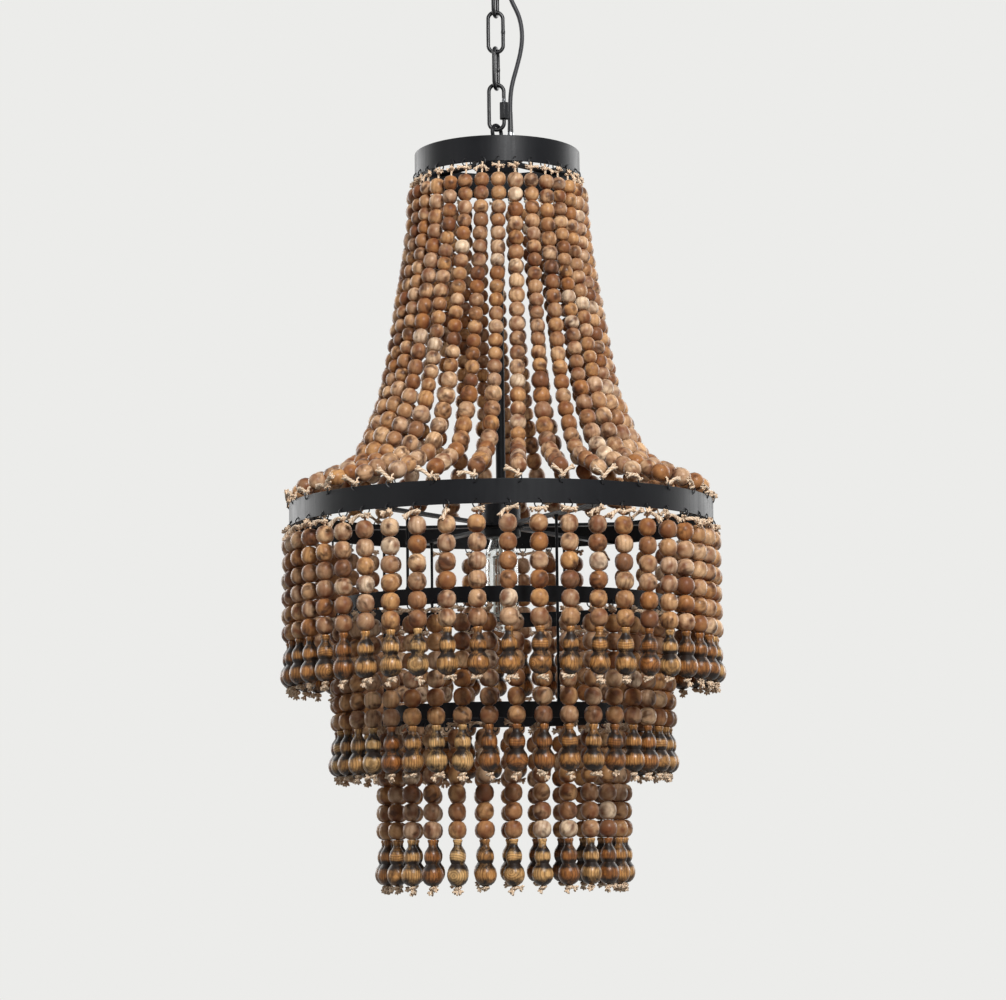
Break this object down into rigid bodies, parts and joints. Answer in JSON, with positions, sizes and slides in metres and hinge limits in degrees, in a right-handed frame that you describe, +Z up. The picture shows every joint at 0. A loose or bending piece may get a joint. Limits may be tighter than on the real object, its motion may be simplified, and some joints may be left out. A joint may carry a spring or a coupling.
{
  "type": "beaded chandelier",
  "caption": "Pendant chandelier: black steel hoops on a short chain, swags of round wooden beads over a central lamp, and tiers of bead strings with turned finials.",
  "frame": {"origin": "middle of the ceiling bracket's top face, where it meets the ceiling", "axes": "+Z up into the ceiling, -Y the front of the picture, +X to its right"},
  "size_m": [0.46, 0.4602, 1.0192],
  "materials": {
    "black_steel": "satin black paint",
    "black_chain": "semi-gloss black coating",
    "zinc_plated_steel": "zinc plated",
    "cable_sheath": "matt",
    "black_plastic": "satin",
    "white_plastic": "satin",
    "clear_glass": "clear",
    "filament_brass": "plain",
    "wooden_beads": "satin, natural and burnt brown",
    "jute_cord": "plain twisted",
    "binding_wire": "dark drawn wire"
  },
  "bodies": {
    "ceiling_fitting": {"ceiling_bracket": "zinc_plated_steel", "ceiling_rose": "black_steel", "ceiling_hook": "black_chain", "cable_grip": "black_plastic", "terminal_block": "white_plastic", "pendant_cable": "cable_sheath"},
    "chain_link_1": {"chain_link_1": "black_chain"},
    "chain_link_2": {"chain_link_2": "black_chain"},
    "chain_link_3": {"chain_link_3": "black_chain"},
    "quick_link": {"quick_link": "black_chain"},
    "sleeve": {"quick_link_sleeve": "black_chain"},
    "frame": {"top_eye": "black_steel", "hub_canister": "black_steel", "cable_gland": "zinc_plated_steel", "inner_cable": "cable_sheath", "top_band": "black_steel", "top_spider": "black_steel", "central_tube": "black_steel", "main_spider": "black_steel", "main_band": "black_steel", "ring_two": "black_steel", "ring_three": "black_steel", "ring_two_rod_1": "black_steel", "ring_two_rod_2": "black_steel", "ring_two_rod_3": "black_steel", "ring_three_rod_1": "black_steel", "ring_three_rod_2": "black_steel", "ring_three_rod_3": "black_steel", "lamp_cup": "black_steel", "lock_nut": "zinc_plated_steel", "lampholder_insert": "black_plastic", "bulb_cap": "zinc_plated_steel", "bulb_glass": "clear_glass", "bulb_filament": "filament_brass", "swag_group_1": "wooden_beads", "swag_group_2": "wooden_beads", "swag_group_3": "wooden_beads", "swag_group_4": "wooden_beads"},
    "tier_one_group_1": {"tier_one_group_1": "wooden_beads"},
    "tier_one_group_2": {"tier_one_group_2": "wooden_beads"},
    "tier_one_group_3": {"tier_one_group_3": "wooden_beads"},
    "tier_one_group_4": {"tier_one_group_4": "wooden_beads"},
    "tier_one_group_5": {"tier_one_group_5": "wooden_beads"},
    "tier_one_group_6": {"tier_one_group_6": "wooden_beads"},
    "tier_one_group_7": {"tier_one_group_7": "wooden_beads"},
    "tier_one_group_8": {"tier_one_group_8": "wooden_beads"},
    "tier_two_group_1": {"tier_two_group_1": "wooden_beads"},
    "tier_two_group_2": {"tier_two_group_2": "wooden_beads"},
    "tier_two_group_3": {"tier_two_group_3": "wooden_beads"},
    "tier_two_group_4": {"tier_two_group_4": "wooden_beads"},
    "tier_two_group_5": {"tier_two_group_5": "wooden_beads"},
    "tier_two_group_6": {"tier_two_group_6": "wooden_beads"},
    "tier_two_group_7": {"tier_two_group_7": "wooden_beads"},
    "tier_two_group_8": {"tier_two_group_8": "wooden_beads"},
    "tier_three_group_1": {"tier_three_group_1": "wooden_beads"},
    "tier_three_group_2": {"tier_three_group_2": "wooden_beads"},
    "tier_three_group_3": {"tier_three_group_3": "wooden_beads"},
    "tier_three_group_4": {"tier_three_group_4": "wooden_beads"},
    "tier_three_group_5": {"tier_three_group_5": "wooden_beads"},
    "tier_three_group_6": {"tier_three_group_6": "wooden_beads"}
  },
  "joints": [
    {"name": "hook_swing", "type": "hinge", "parent": "ceiling_fitting", "child": "chain_link_1", "pos_m": [0, 0, -0.0544], "axis": [1, 0, 0], "range_deg": [-12, 12], "deforming": ["pendant_cable"]},
    {"name": "link_1_swing", "type": "hinge", "parent": "chain_link_1", "child": "chain_link_2", "pos_m": [0, 0, -0.0934], "axis": [0.2756, 0.9613, 0], "range_deg": [-12, 12], "deforming": ["pendant_cable"]},
    {"name": "link_2_swing", "type": "hinge", "parent": "chain_link_2", "child": "chain_link_3", "pos_m": [0, 0, -0.1328], "axis": [1, 0, 0], "range_deg": [-12, 12], "deforming": ["pendant_cable"]},
    {"name": "link_3_swing", "type": "hinge", "parent": "chain_link_3", "child": "quick_link", "pos_m": [0, 0, -0.1722], "axis": [0.2756, 0.9613, 0], "range_deg": [-12, 12], "deforming": ["pendant_cable"]},
    {"name": "quick_link_swing", "type": "hinge", "parent": "quick_link", "child": "frame", "pos_m": [0, 0, -0.2168], "axis": [1, 0, 0], "range_deg": [-12, 12], "deforming": ["pendant_cable"]},
    {"name": "sleeve_travel", "type": "slide", "parent": "quick_link", "child": "sleeve", "axis": [0, 0, 1], "range_m": [0, 0.0115]},
    {"name": "tier_one_group_1_swing", "type": "hinge", "parent": "frame", "child": "tier_one_group_1", "pos_m": [0.07728, -0.19858, -0.64275], "axis": [-0.9319, -0.3627, 0], "range_deg": [-3, 14]},
    {"name": "tier_one_group_2_swing", "type": "hinge", "parent": "frame", "child": "tier_one_group_2", "pos_m": [0.19788, -0.07906, -0.64275], "axis": [-0.371, -0.9286, 0], "range_deg": [-3, 14]},
    {"name": "tier_one_group_3_swing", "type": "hinge", "parent": "frame", "child": "tier_one_group_3", "pos_m": [0.19284, 0.09065, -0.64275], "axis": [0.4254, -0.905, 0], "range_deg": [-3, 14]},
    {"name": "tier_one_group_4_swing", "type": "hinge", "parent": "frame", "child": "tier_one_group_4", "pos_m": [0.07974, 0.19959, -0.64275], "axis": [0.9286, -0.371, 0], "range_deg": [-3, 14]},
    {"name": "tier_one_group_5_swing", "type": "hinge", "parent": "frame", "child": "tier_one_group_5", "pos_m": [-0.07728, 0.19858, -0.64275], "axis": [0.9319, 0.3627, 0], "range_deg": [-3, 14]},
    {"name": "tier_one_group_6_swing", "type": "hinge", "parent": "frame", "child": "tier_one_group_6", "pos_m": [-0.19788, 0.07906, -0.64275], "axis": [0.371, 0.9286, 0], "range_deg": [-3, 14]},
    {"name": "tier_one_group_7_swing", "type": "hinge", "parent": "frame", "child": "tier_one_group_7", "pos_m": [-0.19284, -0.09065, -0.64275], "axis": [-0.4254, 0.905, 0], "range_deg": [-3, 14]},
    {"name": "tier_one_group_8_swing", "type": "hinge", "parent": "frame", "child": "tier_one_group_8", "pos_m": [-0.07974, -0.19959, -0.64275], "axis": [-0.9286, 0.371, 0], "range_deg": [-3, 14]},
    {"name": "tier_two_group_1_swing", "type": "hinge", "parent": "frame", "child": "tier_two_group_1", "pos_m": [0.06274, -0.15298, -0.73425], "axis": [-0.9252, -0.3795, 0], "range_deg": [-1.5, 14]},
    {"name": "tier_two_group_2_swing", "type": "hinge", "parent": "frame", "child": "tier_two_group_2", "pos_m": [0.15254, -0.06381, -0.73425], "axis": [-0.3859, -0.9225, 0], "range_deg": [-1.5, 14]},
    {"name": "tier_two_group_3_swing", "type": "hinge", "parent": "frame", "child": "tier_two_group_3", "pos_m": [0.15298, 0.06274, -0.73425], "axis": [0.3795, -0.9252, 0], "range_deg": [-1.5, 14]},
    {"name": "tier_two_group_4_swing", "type": "hinge", "parent": "frame", "child": "tier_two_group_4", "pos_m": [0.06381, 0.15254, -0.73425], "axis": [0.9225, -0.3859, 0], "range_deg": [-1.5, 14]},
    {"name": "tier_two_group_5_swing", "type": "hinge", "parent": "frame", "child": "tier_two_group_5", "pos_m": [-0.06274, 0.15298, -0.73425], "axis": [0.9252, 0.3795, 0], "range_deg": [-1.5, 14]},
    {"name": "tier_two_group_6_swing", "type": "hinge", "parent": "frame", "child": "tier_two_group_6", "pos_m": [-0.15254, 0.06381, -0.73425], "axis": [0.3859, 0.9225, 0], "range_deg": [-1.5, 14]},
    {"name": "tier_two_group_7_swing", "type": "hinge", "parent": "frame", "child": "tier_two_group_7", "pos_m": [-0.15298, -0.06274, -0.73425], "axis": [-0.3795, 0.9252, 0], "range_deg": [-1.5, 14]},
    {"name": "tier_two_group_8_swing", "type": "hinge", "parent": "frame", "child": "tier_two_group_8", "pos_m": [-0.06381, -0.15254, -0.73425], "axis": [-0.9225, 0.3859, 0], "range_deg": [-1.5, 14]},
    {"name": "tier_three_group_1_swing", "type": "hinge", "parent": "frame", "child": "tier_three_group_1", "pos_m": [0.0595, -0.09954, -0.84495], "axis": [-0.8584, -0.513, 0], "range_deg": [-1.5, 14]},
    {"name": "tier_three_group_2_swing", "type": "hinge", "parent": "frame", "child": "tier_three_group_2", "pos_m": [0.11838, 0.00179, -0.84495], "axis": [0.0151, -0.9999, 0], "range_deg": [-1.5, 14]},
    {"name": "tier_three_group_3_swing", "type": "hinge", "parent": "frame", "child": "tier_three_group_3", "pos_m": [0.05646, 0.1013, -0.84495], "axis": [0.8735, -0.4868, 0], "range_deg": [-1.5, 14]},
    {"name": "tier_three_group_4_swing", "type": "hinge", "parent": "frame", "child": "tier_three_group_4", "pos_m": [-0.06074, 0.10162, -0.84495], "axis": [0.8584, 0.513, 0], "range_deg": [-1.5, 14]},
    {"name": "tier_three_group_5_swing", "type": "hinge", "parent": "frame", "child": "tier_three_group_5", "pos_m": [-0.11595, -0.00175, -0.84495], "axis": [-0.0151, 0.9999, 0], "range_deg": [-1.5, 14]},
    {"name": "tier_three_group_6_swing", "type": "hinge", "parent": "frame", "child": "tier_three_group_6", "pos_m": [-0.05764, -0.10341, -0.84495], "axis": [-0.8735, 0.4868, 0], "range_deg": [-1.5, 14]}
  ]
}
